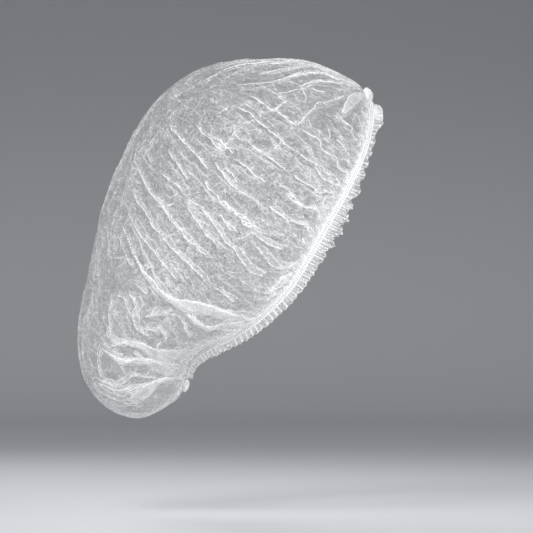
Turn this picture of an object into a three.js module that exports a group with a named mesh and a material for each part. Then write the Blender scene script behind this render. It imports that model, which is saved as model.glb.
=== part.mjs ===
// Disposable strip hairnet in its worn form: one gathered web between two stitched elastics.
// Millimetres. +X points to the face, +Y to the wearer's left, +Z up.
// The origin is the middle of the elastic opening, where the cap is held up.

import * as THREE from 'three';
import { mergeVertices } from 'three/addons/utils/BufferGeometryUtils.js';

// Walls and gaps
const WALL = 1.5;
const GAP = 0.3;
const SIDES = { right: -1, left: 1 };

// Elastic: a flat cord stitched along each long edge of the web
const ELASTIC_WIDTH = 3.6;
const ELASTIC_THICKNESS = 1.0;
const ELASTIC_STEPS = 52;

// The web starts this far from the middle of the elastic, on both sides of it
const SEAM = ELASTIC_WIDTH / 2 + GAP;

// Ruffle: the edge of the web outside the elastic. It flares from the head by FLARE degrees
// where the opening is at least FLARE_FROM wide on each side.
const RUFFLE_THICKNESS = 1.0;
const RUFFLE_WAVES = 56;
const RUFFLE_WAVE_HEIGHT = 1.5;
const RUFFLE_SCALLOPS = 13;
const RUFFLE_SCALLOP_DEPTH = 0.9;
const FLARE = 14;
const FLARE_FROM = 60;

// Crown mesh: cells from the front tab to the nape, and from one elastic to the other
const CROWN_ROWS = 60;
const CROWN_ARCH_CELLS = 32;

// Height of the side's swing, as a share of the arch
const SHOULDER = 0.5;

// Relief of the crown. A start or a reach is a share of the crown's length or an arch's rise.
const GATHERS = { height: 1.6, reach: 0.14 };
const SIDE_CREASES = { count: 10, height: 2.6, twist: 1.6, lowest: 0.1, frontFade: 0.2, napeFade: 0.3 };
const FRONT_PLEATS = { count: 4, height: 2.8, reach: 0.17, start: 0.08 };
const NAPE_PLEATS = { count: 4, height: 2.6, reach: 0.13, start: 0.06 };
const EDGE_FADE = 0.07;

// Sections of the crown from the front tab to the nape. Each is an arch that stands on the
// elastics at (footX, +-footY, footZ) and reaches its crest at (topX, 0, topZ).
// lean: how far the side swings out past the elastic; flat: half width of the flat top;
// ruffle: depth of the ruffle there.
const SECTIONS = [
  { footX: 62.5, footZ: 96, footY: 9, topX: 58, topZ: 106.5, lean: 1, flat: 6, ruffle: 4 },
  { footX: 62.5, footZ: 89, footY: 22, topX: 48.5, topZ: 113.5, lean: 5, flat: 16, ruffle: 6 },
  { footX: 61.5, footZ: 77.5, footY: 36, topX: 17.5, topZ: 126, lean: 14, flat: 36, ruffle: 4.5 },
  { footX: 56, footZ: 58.5, footY: 53, topX: -21.5, topZ: 127.5, lean: 22, flat: 56, ruffle: 2.5 },
  { footX: 45, footZ: 34.5, footY: 65, topX: -61, topZ: 119, lean: 28, flat: 66, ruffle: 5 },
  { footX: 32, footZ: 11.5, footY: 71, topX: -91.5, topZ: 95, lean: 30, flat: 68, ruffle: 7 },
  { footX: 19, footZ: -11.5, footY: 74, topX: -111, topZ: 60.5, lean: 30, flat: 66, ruffle: 6 },
  { footX: 5, footZ: -33.5, footY: 74, topX: -125, topZ: 25.5, lean: 29, flat: 62, ruffle: 5.5 },
  { footX: -13.5, footZ: -52, footY: 67, topX: -134.5, topZ: -16.5, lean: 30, flat: 57, ruffle: 5 },
  { footX: -32, footZ: -65, footY: 55, topX: -141, topZ: -58.5, lean: 30, flat: 50, ruffle: 5 },
  { footX: -47.5, footZ: -72.5, footY: 42, topX: -140.5, topZ: -84.5, lean: 30, flat: 46, ruffle: 4.5 },
  { footX: -56.5, footZ: -78, footY: 30, topX: -129, topZ: -110, lean: 28, flat: 42, ruffle: 4 },
  { footX: -62.5, footZ: -84.5, footY: 20, topX: -102, topZ: -123, lean: 22, flat: 32, ruffle: 3 },
  { footX: -65.5, footZ: -90.5, footY: 12, topX: -77, topZ: -112.5, lean: 8, flat: 16, ruffle: 2.5 },
  { footX: -66.5, footZ: -93.5, footY: 8, topX: -68.5, topZ: -103, lean: 1, flat: 6, ruffle: 2.5 },
];

// Ends of the elastics, where they meet under the front tab and at the nape
const FRONT_END = { x: 64, y: 0.7, z: 97.5 };
const NAPE_END = { x: -67, y: 0.7, z: -95 };

// Large folds, drawn in the side view and the same on both sides
const FOLDS = {
  rollAboveNape: {
    height: 4.6,
    width: 6.5,
    line: [{ x: -111, z: 4 }, { x: -94, z: -22 }, { x: -80, z: -36 }, { x: -60, z: -47 }, { x: -22, z: -54 }],
  },
  flapOfBag: {
    height: 3.6,
    width: 7,
    line: [{ x: -118, z: -72 }, { x: -103, z: -70 }, { x: -84, z: -80 }, { x: -70, z: -87 }],
  },
  lowFoldOfBag: {
    height: 3.2,
    width: 7,
    line: [{ x: -126, z: -94 }, { x: -112, z: -98 }, { x: -100, z: -93 }, { x: -80, z: -97 }],
  },
};

// Tabs: the welded bundles of pleats at the two ends of the web
const TABS = {
  front_tab: { x: 62, z: 103.2, radiusX: 3.4, radiusZ: 4.5, half: 8, tilt: 8 },
  rear_tab: { x: -65.4, z: -101.4, radiusX: 2.5, radiusZ: 3.4, half: 7, tilt: 0 },
};
const TAB_PLEATS = 5;
const TAB_GROOVE = 0.2;
const TAB_TAPER = 0.75;
const TAB_CHAMFER = 0.06;
const TAB_SEGMENTS = 14;

const finishes = {
  web: new THREE.MeshStandardMaterial({ color: 0xf0efee, roughness: 0.9, metalness: 0 }),
  elastic: new THREE.MeshStandardMaterial({ color: 0xfafafa, roughness: 0.7, metalness: 0 }),
};

const smooth = (value) => THREE.MathUtils.smoothstep(value, 0, 1);

// A row of round ridges, one for each whole number, between 0 in the valleys and 1 on top
const ridges = (value) => 0.5 - 0.5 * Math.cos(2 * Math.PI * value);

const curveThrough = (points) => new THREE.CatmullRomCurve3(points, false, 'catmullrom', 0.5);

// The elastic's path on the wearer's left, from the front tab to the nape
const elasticPath = curveThrough([
  new THREE.Vector3(FRONT_END.x, FRONT_END.y, FRONT_END.z),
  ...SECTIONS.map((s) => new THREE.Vector3(s.footX, s.footY, s.footZ)),
  new THREE.Vector3(NAPE_END.x, NAPE_END.y, NAPE_END.z),
]);
const crestPath = curveThrough(SECTIONS.map((s) => new THREE.Vector3(s.topX, 0, s.topZ)));
const archShape = curveThrough(SECTIONS.map((s) => new THREE.Vector3(s.lean, s.flat, s.ruffle)));

// The elastic's path has one span more than the crown at each end
const crownSpans = SECTIONS.length - 1;
const alongElastic = (share) => (share * crownSpans + 1) / (crownSpans + 2);
const alongCrown = (t) => THREE.MathUtils.clamp((t * (crownSpans + 2) - 1) / crownSpans, 0, 1);

// The elastic's frame at t: its middle, across it away from the crown, and out of the head.
// The side view gives the direction across, smoothed over a short reach.
function elasticFrame(t) {
  const reach = 0.03;
  const centre = elasticPath.getPoint(t);
  const along = elasticPath.getTangent(t);
  const before = elasticPath.getPoint(Math.max(t - reach, 0));
  const after = elasticPath.getPoint(Math.min(t + reach, 1));
  const across = new THREE.Vector3(before.z - after.z, 0, after.x - before.x).normalize();
  const flare = THREE.MathUtils.degToRad(FLARE) * smooth(centre.y / FLARE_FROM);
  across.multiplyScalar(Math.cos(flare));
  across.y = Math.sin(flare);
  across.addScaledVector(along, -across.dot(along)).normalize();
  const out = new THREE.Vector3().crossVectors(across, along).normalize();
  return { centre, across, out };
}

// A point beside the elastic's middle line, kept on its own side of the cap
function besideElastic(t, acrossBy, outBy) {
  const { centre, across, out } = elasticFrame(t);
  const point = centre.addScaledVector(across, acrossBy).addScaledVector(out, outBy);
  point.y = Math.max(point.y, GAP / 2);
  return point;
}

// A point of the smooth crown. share runs from the front tab to the nape, arch from -1 at
// the right elastic over the crest at 0 to 1 at the left elastic.
function crownPoint(share, arch) {
  const foot = besideElastic(alongElastic(share), -SEAM, 0);
  const top = crestPath.getPoint(share);
  const { x: lean, y: flat } = archShape.getPoint(share);
  const fall = Math.abs(arch);
  const rise = 1 - fall;
  const low = 3 * fall * fall * rise;
  const high = 3 * fall * rise * rise;
  const height = low * SHOULDER + high + rise ** 3;
  const halfWidth = fall ** 3 * foot.y + low * (foot.y + lean) + high * flat;
  return new THREE.Vector3(
    THREE.MathUtils.lerp(foot.x, top.x, height),
    Math.sign(arch) * halfWidth,
    THREE.MathUtils.lerp(foot.z, top.z, height),
  );
}

// At the elastics the wall stands square on them; elsewhere it follows the smooth crown
function crownNormal(share, arch) {
  if (Math.abs(arch) === 1) {
    const { out } = elasticFrame(alongElastic(share));
    out.y *= arch;
    return out;
  }
  const step = 0.01;
  const alongCap = crownPoint(Math.min(share + step, 1), arch)
    .sub(crownPoint(Math.max(share - step, 0), arch));
  const overCap = crownPoint(share, Math.min(arch + step, 1))
    .sub(crownPoint(share, Math.max(arch - step, -1)));
  return overCap.cross(alongCap).normalize();
}

// Height of one large fold at a point of the side view
function foldHeight(fold, x, z) {
  const point = new THREE.Vector3(x, 0, z);
  const corners = fold.line.map((corner) => new THREE.Vector3(corner.x, 0, corner.z));
  const distances = corners.slice(1).map((end, i) => new THREE.Line3(corners[i], end)
    .closestPointToPoint(point, true, new THREE.Vector3()).distanceTo(point));
  return fold.height * Math.exp(-((Math.min(...distances) / fold.width) ** 2));
}

// Pleats run from a tab over the crown and die out along it
const pleats = (kind, distance, rise) => kind.height
  * ridges((rise + kind.start) * kind.count) * Math.exp(-distance / kind.reach);

// Pleats, creases, folds and gathers, as a height over the smooth crown
function crownRelief(share, arch, point) {
  const rise = 1 - Math.abs(arch);
  const gathers = GATHERS.height * Math.cos(Math.PI * share * CROWN_ROWS)
    * Math.exp(-rise / GATHERS.reach);
  const creaseLine = ridges(share * SIDE_CREASES.count + SIDE_CREASES.twist * rise) ** 2;
  const creases = SIDE_CREASES.height * creaseLine
    * ridges(THREE.MathUtils.lerp(SIDE_CREASES.lowest, 1 - SIDE_CREASES.lowest, rise))
    * smooth(share / SIDE_CREASES.frontFade) * smooth((1 - share) / SIDE_CREASES.napeFade);
  const pleated = pleats(FRONT_PLEATS, share, rise) + pleats(NAPE_PLEATS, 1 - share, rise);
  const folds = Object.values(FOLDS)
    .reduce((sum, fold) => sum + foldHeight(fold, point.x, point.z), 0);
  const edge = smooth(rise / EDGE_FADE) * smooth(share / EDGE_FADE)
    * smooth((1 - share) / EDGE_FADE);
  return edge * (gathers + creases + pleated + folds);
}

// One closed wall between two grids of points of the same size
function wallBetween(outer, inner) {
  const rows = outer.length;
  const columns = outer[0].length;
  const positions = [...outer, ...inner].flat().flatMap((p) => [p.x, p.y, p.z]);
  const at = (row, column, layer) => (layer * rows + row) * columns + column;
  const faces = [];
  const quad = (a, b, c, d) => faces.push(a, b, c, a, c, d);
  const lastRow = rows - 1;
  const lastColumn = columns - 1;
  for (let r = 0; r < lastRow; r += 1) {
    for (let c = 0; c < lastColumn; c += 1) {
      quad(at(r, c, 0), at(r, c + 1, 0), at(r + 1, c + 1, 0), at(r + 1, c, 0));
      quad(at(r, c, 1), at(r + 1, c, 1), at(r + 1, c + 1, 1), at(r, c + 1, 1));
    }
    quad(at(r, 0, 0), at(r + 1, 0, 0), at(r + 1, 0, 1), at(r, 0, 1));
    quad(at(r, lastColumn, 0), at(r, lastColumn, 1), at(r + 1, lastColumn, 1), at(r + 1, lastColumn, 0));
  }
  for (let c = 0; c < lastColumn; c += 1) {
    quad(at(0, c, 0), at(0, c, 1), at(0, c + 1, 1), at(0, c + 1, 0));
    quad(at(lastRow, c, 0), at(lastRow, c + 1, 0), at(lastRow, c + 1, 1), at(lastRow, c, 1));
  }
  const geometry = new THREE.BufferGeometry();
  geometry.setAttribute('position', new THREE.Float32BufferAttribute(positions, 3));
  geometry.setIndex(faces);
  return geometry;
}

// The right side's copy of a left geometry, mirrored across the cap's middle plane
function mirrored(geometry) {
  const copy = geometry.clone().scale(1, -1, 1);
  const index = copy.getIndex();
  for (let i = 0; i < index.count; i += 3) {
    const first = index.getX(i);
    index.setX(i, index.getX(i + 1));
    index.setX(i + 1, first);
  }
  return copy;
}

function crownGeometry() {
  const outer = [];
  const inner = [];
  for (let row = 0; row <= CROWN_ROWS; row += 1) {
    const share = row / CROWN_ROWS;
    const outerRow = [];
    const innerRow = [];
    for (let cell = 0; cell <= CROWN_ARCH_CELLS; cell += 1) {
      const arch = 2 * cell / CROWN_ARCH_CELLS - 1;
      const point = crownPoint(share, arch);
      const normal = crownNormal(share, arch);
      const seat = Math.abs(arch) === 1 ? WALL / 2 : 0;
      point.addScaledVector(normal, seat + crownRelief(share, arch, point));
      outerRow.push(point);
      innerRow.push(point.clone().addScaledVector(normal, -WALL));
    }
    outer.push(outerRow);
    inner.push(innerRow);
  }
  return wallBetween(outer, inner);
}

function elasticGeometry() {
  const top = [];
  const under = [];
  for (let i = 0; i <= ELASTIC_STEPS; i += 1) {
    const place = (width, height) => besideElastic(
      i / ELASTIC_STEPS, width * ELASTIC_WIDTH / 2, height * ELASTIC_THICKNESS / 2);
    top.push([place(-1, 1), place(1, 1)]);
    under.push([place(-1, -1), place(1, -1)]);
  }
  return wallBetween(top, under);
}

function ruffleGeometry() {
  const top = [];
  const under = [];
  const half = RUFFLE_THICKNESS / 2;
  const steps = 2 * RUFFLE_WAVES;
  for (let i = 0; i <= steps; i += 1) {
    const t = i / steps;
    const swing = i % 2 === 0 ? RUFFLE_WAVE_HEIGHT : -RUFFLE_WAVE_HEIGHT;
    const scallop = RUFFLE_SCALLOP_DEPTH * Math.cos(2 * Math.PI * t * RUFFLE_SCALLOPS);
    const { z: depth } = archShape.getPoint(alongCrown(t));
    const hem = SEAM + depth + scallop;
    top.push([besideElastic(t, SEAM, half), besideElastic(t, hem, swing + half)]);
    under.push([besideElastic(t, SEAM, -half), besideElastic(t, hem, swing - half)]);
  }
  return wallBetween(top, under);
}

// A bundle of pleats turned about its length, tapered to both ends and flattened to an oval
function tabGeometry(tab) {
  const profile = [new THREE.Vector2(0, -tab.half)];
  const stops = 2 * TAB_PLEATS;
  for (let i = 0; i <= stops; i += 1) {
    const along = THREE.MathUtils.lerp(-1, 1, i / stops);
    const taper = Math.sqrt(1 - TAB_TAPER * along * along);
    const groove = i % 2 === 0 ? 1 - TAB_GROOVE : 1;
    profile.push(new THREE.Vector2(taper * groove, along * tab.half * (1 - TAB_CHAMFER)));
  }
  profile.push(new THREE.Vector2(0, tab.half));
  const geometry = new THREE.LatheGeometry(profile, TAB_SEGMENTS);
  geometry.scale(tab.radiusX, 1, tab.radiusZ);
  geometry.rotateY(THREE.MathUtils.degToRad(tab.tilt));
  return geometry;
}

function addPiece(group, name, geometry, material) {
  geometry.deleteAttribute('normal');
  geometry.deleteAttribute('uv');
  const mesh = new THREE.Mesh(mergeVertices(geometry), material);
  mesh.name = name;
  group.add(mesh);
  return mesh;
}

const hairnet = new THREE.Group();
addPiece(hairnet, 'crown', crownGeometry(), finishes.web);

const elastic = elasticGeometry();
const ruffle = ruffleGeometry();
for (const [name, side] of Object.entries(SIDES)) {
  const sided = (geometry) => (side < 0 ? mirrored(geometry) : geometry.clone());
  addPiece(hairnet, `elastic_${name}`, sided(elastic), finishes.elastic);
  addPiece(hairnet, `ruffle_${name}`, sided(ruffle), finishes.web);
}

for (const [name, tab] of Object.entries(TABS)) {
  const mesh = addPiece(hairnet, name, tabGeometry(tab), finishes.web);
  mesh.position.set(tab.x, 0, tab.z);
}

export default hairnet;
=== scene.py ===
"""Dresses the disposable strip hairnet: one see-through gathered web between two stitched elastics.

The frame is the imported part's: +X to the front, +Y to the left, +Z up, the origin in the middle of
the elastic opening. Sizes are in millimetres until a mesh is made of them.
"""

import logging
import math
from collections.abc import Iterator
from contextlib import contextmanager
from dataclasses import dataclass
from enum import Enum

import bpy
import numpy as np
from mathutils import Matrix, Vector, kdtree, noise


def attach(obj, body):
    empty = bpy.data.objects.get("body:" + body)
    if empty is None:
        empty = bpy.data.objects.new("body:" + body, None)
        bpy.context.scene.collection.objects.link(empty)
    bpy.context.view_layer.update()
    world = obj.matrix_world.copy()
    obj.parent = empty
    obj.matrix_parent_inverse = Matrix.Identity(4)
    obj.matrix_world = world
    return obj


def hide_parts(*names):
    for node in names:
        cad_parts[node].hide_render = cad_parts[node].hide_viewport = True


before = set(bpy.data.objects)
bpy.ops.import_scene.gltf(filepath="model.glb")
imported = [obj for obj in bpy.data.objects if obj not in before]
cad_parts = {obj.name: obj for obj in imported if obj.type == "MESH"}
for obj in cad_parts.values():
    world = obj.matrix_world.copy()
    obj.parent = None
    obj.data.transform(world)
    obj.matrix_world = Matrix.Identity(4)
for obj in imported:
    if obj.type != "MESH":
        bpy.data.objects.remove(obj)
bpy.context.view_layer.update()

log = logging.getLogger("hairnet")

Colour = tuple[float, float, float, float]
Place = tuple[float, float, float]
Pair = tuple[float, float]

MM = 0.001
BODY = "root"

# The charts below are drawn over the side view, in its pixels
MM_PER_PIXEL = 0.70
CHART_CENTRE = (281.0, 241.5)

# One unit of the cloth's own map, in millimetres
WEB_MAP = 500.0
CLOTH_MAP = "ClothMap"

# Where the web's pleats meet at its two ends, in millimetres
FRONT_KNOT = (61.0, 0.0, 103.0)
REAR_KNOT = (-66.0, 0.0, -101.0)

# Points closer than this are one point, in metres
SAME_POINT = 2e-6

# Moves noise to another place for each seed
SEED_STEP = (3.71, 1.93, 5.27)


class Side(Enum):
    """A side of the cap, as the sign of its Y."""

    RIGHT = -1
    LEFT = 1


class Slot(Enum):
    """The record's material slots."""

    WEB = "web"
    ELASTIC = "elastic"
    TAB = "tab"


class Mark(Enum):
    """What points record for their finish.

    Long creases, small creases and folds each have a distance in millimetres and a strength. The web
    has how closely it's packed, and a cord how far each point lies across it and outwards.
    """

    LONG = "crease"
    SMALL = "minor"
    FOLD = "band"
    PACKED = "packed"
    ACROSS = "across"


@dataclass(frozen=True)
class Section:
    """One arch of the crown, from the elastics at (foot_x, +-foot_y, foot_z) to the crest.

    lean is how far its side swings out, flat is half the width of its top, and ruffle is the
    ruffle's depth there.
    """

    foot_x: float
    foot_z: float
    foot_y: float
    top_x: float
    top_z: float
    lean: float
    flat: float
    ruffle: float


SECTIONS = (
    Section(62.5, 96, 9, 58, 106.5, 1, 6, 4),
    Section(62.5, 89, 22, 48.5, 113.5, 5, 16, 6),
    Section(61.5, 77.5, 36, 17.5, 126, 14, 36, 4.5),
    Section(56, 58.5, 53, -21.5, 127.5, 22, 56, 2.5),
    Section(45, 34.5, 65, -61, 119, 28, 66, 5),
    Section(32, 11.5, 71, -91.5, 95, 30, 68, 7),
    Section(19, -11.5, 74, -111, 60.5, 30, 66, 6),
    Section(5, -33.5, 74, -125, 25.5, 29, 62, 5.5),
    Section(-13.5, -52, 67, -134.5, -16.5, 30, 57, 5),
    Section(-32, -65, 55, -141, -58.5, 30, 50, 5),
    Section(-47.5, -72.5, 42, -140.5, -84.5, 30, 46, 4.5),
    Section(-56.5, -78, 30, -129, -110, 28, 42, 4),
    Section(-62.5, -84.5, 20, -102, -123, 22, 32, 3),
    Section(-65.5, -90.5, 12, -77, -112.5, 8, 16, 2.5),
    Section(-66.5, -93.5, 8, -68.5, -103, 1, 6, 2.5),
)


def smooth(value: np.ndarray) -> np.ndarray:
    """Returns 0 below 0, 1 above 1, and a smooth step between them."""
    share = np.clip(value, 0.0, 1.0)
    return share * share * (3 - 2 * share)


def unit(vectors: np.ndarray) -> np.ndarray:
    """Returns the vectors at length 1."""
    return vectors / np.maximum(np.linalg.norm(vectors, axis=-1, keepdims=True), 1e-12)


def dot(first: np.ndarray, second: np.ndarray) -> np.ndarray:
    """Returns the dot products of two arrays of vectors, with their last axis kept."""
    return (first * second).sum(-1, keepdims=True)


def curve_through(points: np.ndarray, place: np.ndarray) -> np.ndarray:
    """Finds points of the uniform Catmull-Rom curve through some points.

    Args:
        points: the points it passes, one a row.
        place: where on the curve, from 0 to 1.

    Returns:
        One row for each place.
    """
    spans = len(points) - 1
    at = np.clip(place, 0.0, 1.0) * spans
    start = np.minimum(at.astype(int), spans - 1)
    w = (at - start)[..., None]
    ends = np.vstack([2 * points[0] - points[1], points, 2 * points[-1] - points[-2]])
    before, first, last, after = (ends[start + k] for k in range(4))
    out, into = 0.5 * (last - before), 0.5 * (after - first)
    cubic = 2 * first - 2 * last + out + into
    square = -3 * first + 3 * last - 2 * out - into
    return ((cubic * w + square) * w + out) * w + first


def soft_noise(points: np.ndarray, size: float, seed: float) -> np.ndarray:
    """Returns smooth noise from about -1 to 1.

    Args:
        points: where, in millimetres, one a row.
        size: the width of its waves in millimetres.
        seed: picks one of many patterns.
    """
    shifted = points / size + seed * np.array(SEED_STEP)
    return np.array([noise.noise(Vector(p)) for p in shifted])


def line_noise(path: np.ndarray, size: float, seed: float) -> np.ndarray:
    """Returns smooth noise at each of some distances along a line."""
    return soft_noise(np.stack([path, 0 * path, 0 * path], -1), size, seed)


def gone_along(points: np.ndarray) -> np.ndarray:
    """Returns how far each point lies from the start of its line, where each row of points is a line."""
    steps = np.linalg.norm(np.diff(points, axis=-2), axis=-1)
    return np.concatenate([np.zeros((*steps.shape[:-1], 1)), np.cumsum(steps, -1)], -1)


@dataclass(frozen=True)
class CapForm:
    """The smooth open form: the elastics' paths, and the arches of the crown between them."""

    front_end: Place = (64.0, 0.7, 97.5)
    rear_end: Place = (-67.0, 0.7, -95.0)
    seam: float = 1.1
    flare: float = 14.0
    flare_from: float = 60.0
    shoulder: float = 0.5
    middle: Place = (-35.0, 0.0, 10.0)

    def path(self) -> np.ndarray:
        """Returns the corners of the left elastic's middle line."""
        inner = [(s.foot_x, s.foot_y, s.foot_z) for s in SECTIONS]
        return np.array([self.front_end, *inner, self.rear_end], float)

    def crest(self, share: np.ndarray) -> np.ndarray:
        """Returns points of the crest."""
        return curve_through(np.array([(s.top_x, 0.0, s.top_z) for s in SECTIONS]), share)

    def shape(self, share: np.ndarray) -> np.ndarray:
        """Returns lean, flat and ruffle at each share of the crown's length."""
        return curve_through(np.array([(s.lean, s.flat, s.ruffle) for s in SECTIONS]), share)

    def along_elastic(self, share: np.ndarray) -> np.ndarray:
        """Turns a share of the crown's length into a place on the elastic."""
        spans = len(SECTIONS) - 1
        return (share * spans + 1) / (spans + 2)

    def along_crown(self, place: np.ndarray) -> np.ndarray:
        """Turns a place on the elastic into a share of the crown's length."""
        spans = len(SECTIONS) - 1
        return np.clip((place * (spans + 2) - 1) / spans, 0.0, 1.0)

    def elastic_length(self) -> float:
        """Returns the length of one elastic."""
        return float(gone_along(curve_through(self.path(), np.linspace(0, 1, 600)))[-1])

    def even_places(self, distances: np.ndarray) -> np.ndarray:
        """Turns shares of the elastic's length into places on its curve."""
        place = np.linspace(0, 1, 1200)
        gone = gone_along(curve_through(self.path(), place))
        return np.interp(distances, gone / gone[-1], place)

    def elastic_frame(self, place: np.ndarray) -> tuple[np.ndarray, np.ndarray, np.ndarray]:
        """Returns the left elastic's middle, across it away from the crown, and outwards."""
        corners, reach, step = self.path(), 0.03, 1e-4
        centre = curve_through(corners, place)
        along = unit(curve_through(corners, np.minimum(place + step, 1))
                     - curve_through(corners, np.maximum(place - step, 0)))
        before = curve_through(corners, np.maximum(place - reach, 0))
        after = curve_through(corners, np.minimum(place + reach, 1))
        across = np.stack([before[..., 2] - after[..., 2], np.zeros(before.shape[:-1]),
                           after[..., 0] - before[..., 0]], -1)
        flare = math.radians(self.flare) * smooth(centre[..., 1:2] / self.flare_from)
        across = unit(across) * np.cos(flare)
        across[..., 1:2] = np.sin(flare)
        across = unit(across - along * dot(across, along))
        return centre, across, unit(np.cross(across, along))

    def beside(self, place: np.ndarray, across: np.ndarray, out: np.ndarray, side: Side) -> np.ndarray:
        """Returns points beside an elastic's middle line.

        Args:
            place: where along the elastic, from 0 at the front to 1 at the rear.
            across: millimetres across it, away from the crown.
            out: millimetres outwards from the hollow.
            side: which elastic.
        """
        centre, over, outward = self.elastic_frame(place)
        points = centre + over * np.asarray(across)[..., None] + outward * np.asarray(out)[..., None]
        points[..., 1] = np.maximum(points[..., 1], 0.15) * side.value
        return points

    def crown(self, share: np.ndarray, arch: np.ndarray) -> np.ndarray:
        """Returns points of the smooth crown.

        Args:
            share: from 0 at the front tab to 1 at the rear one.
            arch: from -1 at the right elastic over the crest to 1 at the left one.
        """
        foot = self.beside(self.along_elastic(share), np.full(share.shape, -self.seam),
                           np.zeros(share.shape), Side.LEFT)
        top, shape = self.crest(share), self.shape(share)
        fall = np.abs(arch)
        rise = 1 - fall
        low, high = 3 * fall * fall * rise, 3 * fall * rise * rise
        height = low * self.shoulder + high + rise ** 3
        half = fall ** 3 * foot[..., 1] + low * (foot[..., 1] + shape[..., 0]) + high * shape[..., 1]
        x = foot[..., 0] + (top[..., 0] - foot[..., 0]) * height
        z = foot[..., 2] + (top[..., 2] - foot[..., 2]) * height
        return np.stack([x, np.sign(arch) * half, z], -1)


FORM = CapForm()


# Creases of the web, drawn over the side view


@dataclass(frozen=True)
class Look:
    """How some creases look: where they're recorded, and their height, width and wiggle in millimetres."""

    mark: Mark
    height: float
    width: float
    wiggle: float


@dataclass(frozen=True)
class CreaseChart:
    """Creases of one kind, each a row of corners in the side view's pixels, and how strongly they show."""

    look: Look
    shine: float
    lines: tuple[tuple[Pair, ...], ...]


SIDE_CREASES = CreaseChart(Look(Mark.LONG, 1.3, 1.4, 1.1), 1.05, (
    ((139, 135), (138, 149), (136, 161), (141, 170), (147, 182), (154, 195), (163, 205), (168, 214),
     (176, 223), (184, 232), (191, 240), (200, 248), (204, 256), (211, 264)),
    ((134, 186), (138, 198), (144, 208), (151, 219), (156, 227), (164, 235), (174, 248), (183, 256),
     (194, 266), (205, 278), (216, 288)),
    ((160, 173), (167, 178), (178, 186), (186, 195), (195, 204), (205, 212), (215, 222), (220, 232),
     (227, 243), (235, 251), (244, 263), (252, 270), (265, 278)),
    ((186, 204), (194, 215), (201, 225), (208, 235), (217, 244), (223, 252)),
    ((128, 209), (135, 221), (140, 232), (151, 245), (158, 253), (163, 261), (169, 268), (178, 277),
     (186, 284)),
    ((172, 123), (176, 133), (185, 145), (193, 153), (198, 159), (206, 168), (213, 175)),
    ((170, 153), (176, 162), (186, 174), (191, 184)),
    ((146, 147), (149, 158), (154, 166)),
    ((204, 179), (211, 191), (220, 199), (224, 207), (232, 211), (255, 231), (281, 239)),
    ((196, 126), (204, 136), (211, 144), (220, 151), (226, 156)),
    ((236, 108), (244, 114), (253, 121), (261, 128), (268, 133), (279, 142), (288, 150), (301, 158)),
    ((235, 132), (240, 141), (247, 145), (256, 152), (264, 158), (274, 165), (280, 170), (289, 176)),
    ((234, 162), (244, 168), (251, 175), (260, 180), (269, 187)),
    ((214, 163), (221, 172), (229, 184), (238, 192), (247, 196), (254, 202), (259, 207), (260, 214)),
    ((247, 96), (261, 105), (267, 111), (274, 114), (283, 107), (289, 103)),
    ((274, 115), (287, 123), (295, 129)),
    ((226, 169), (233, 177), (239, 186)),
    ((268, 207), (272, 212), (280, 217), (286, 221), (289, 224)),
    ((286, 195), (291, 202), (297, 206), (307, 209)),
    ((222, 200), (232, 209), (245, 220), (254, 228)),
    ((219, 215), (226, 223), (233, 234)),
    ((250, 232), (268, 246), (284, 252)),
    ((206, 135), (222, 146), (236, 158)),
    ((313, 168), (322, 180), (338, 190)),
    ((288, 193), (301, 206), (319, 214)),
    ((120, 232), (127, 252), (137, 270)),
    ((141, 284), (151, 295)),
    ((149, 272), (159, 264)),
    ((166, 287), (172, 282)),
    ((176, 246), (183, 240)),
))

FRONT_PLEATS = CreaseChart(Look(Mark.LONG, 1.1, 1.5, 1.1), 0.9, (
    ((344, 97), (340, 100), (330, 103), (319, 106), (315, 110), (310, 116), (305, 121), (298, 128),
     (283, 140)),
    ((277, 99), (301, 93), (320, 85)),
    ((312, 90), (315, 93), (319, 95), (326, 95)),
    ((337, 94), (347, 91), (357, 90), (362, 90)),
    ((339, 84), (346, 86), (350, 90)),
    ((363, 104), (361, 111), (364, 120)),
    ((236, 89), (261, 88), (285, 82), (320, 72)),
    ((194, 88), (213, 80), (244, 70), (277, 67), (301, 69)),
    ((210, 66), (245, 62), (277, 62), (320, 68)),
))

EDGE_CURLS = CreaseChart(Look(Mark.LONG, 1.4, 1.3, 1.1), 1.15, (
    ((333, 114), (338, 119), (344, 125), (350, 131), (349, 135), (353, 142), (356, 146)),
    ((357, 116), (359, 123), (361, 132), (361, 138)),
    ((325, 127), (327, 134), (330, 142)),
    ((333, 141), (338, 144), (341, 149), (344, 155), (346, 160), (345, 167), (351, 170)),
    ((295, 129), (304, 136), (312, 141), (318, 146), (321, 154), (328, 157), (334, 161), (335, 168),
     (338, 173), (344, 176), (344, 183), (343, 186)),
    ((290, 151), (300, 157), (306, 164), (315, 167), (321, 171), (323, 175), (330, 177), (335, 181),
     (337, 186), (333, 194)),
    ((290, 175), (298, 182), (305, 185), (312, 190), (318, 195), (326, 195), (332, 195), (332, 200)),
    ((325, 196), (325, 200), (321, 206), (324, 210), (329, 210)),
    ((293, 201), (300, 207), (306, 209), (314, 210), (318, 217), (317, 224)),
    ((288, 221), (296, 224), (304, 225), (310, 224)),
    ((306, 227), (310, 234), (311, 239)),
    ((302, 237), (304, 243), (307, 247)),
    ((271, 266), (278, 268), (285, 268), (292, 265), (298, 263)),
    ((276, 286), (280, 281), (286, 276), (292, 273)),
    ((261, 292), (268, 293), (273, 290), (280, 286), (287, 280), (290, 277)),
    ((265, 300), (271, 295), (276, 290)),
    ((240, 261), (246, 267), (252, 271), (258, 275), (266, 278)),
    ((256, 247), (261, 253), (266, 259), (270, 265), (274, 269)),
    ((217, 287), (225, 293), (232, 298), (237, 301)),
    ((241, 220), (247, 227), (255, 231)),
    ((269, 232), (275, 237), (281, 240)),
))

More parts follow.
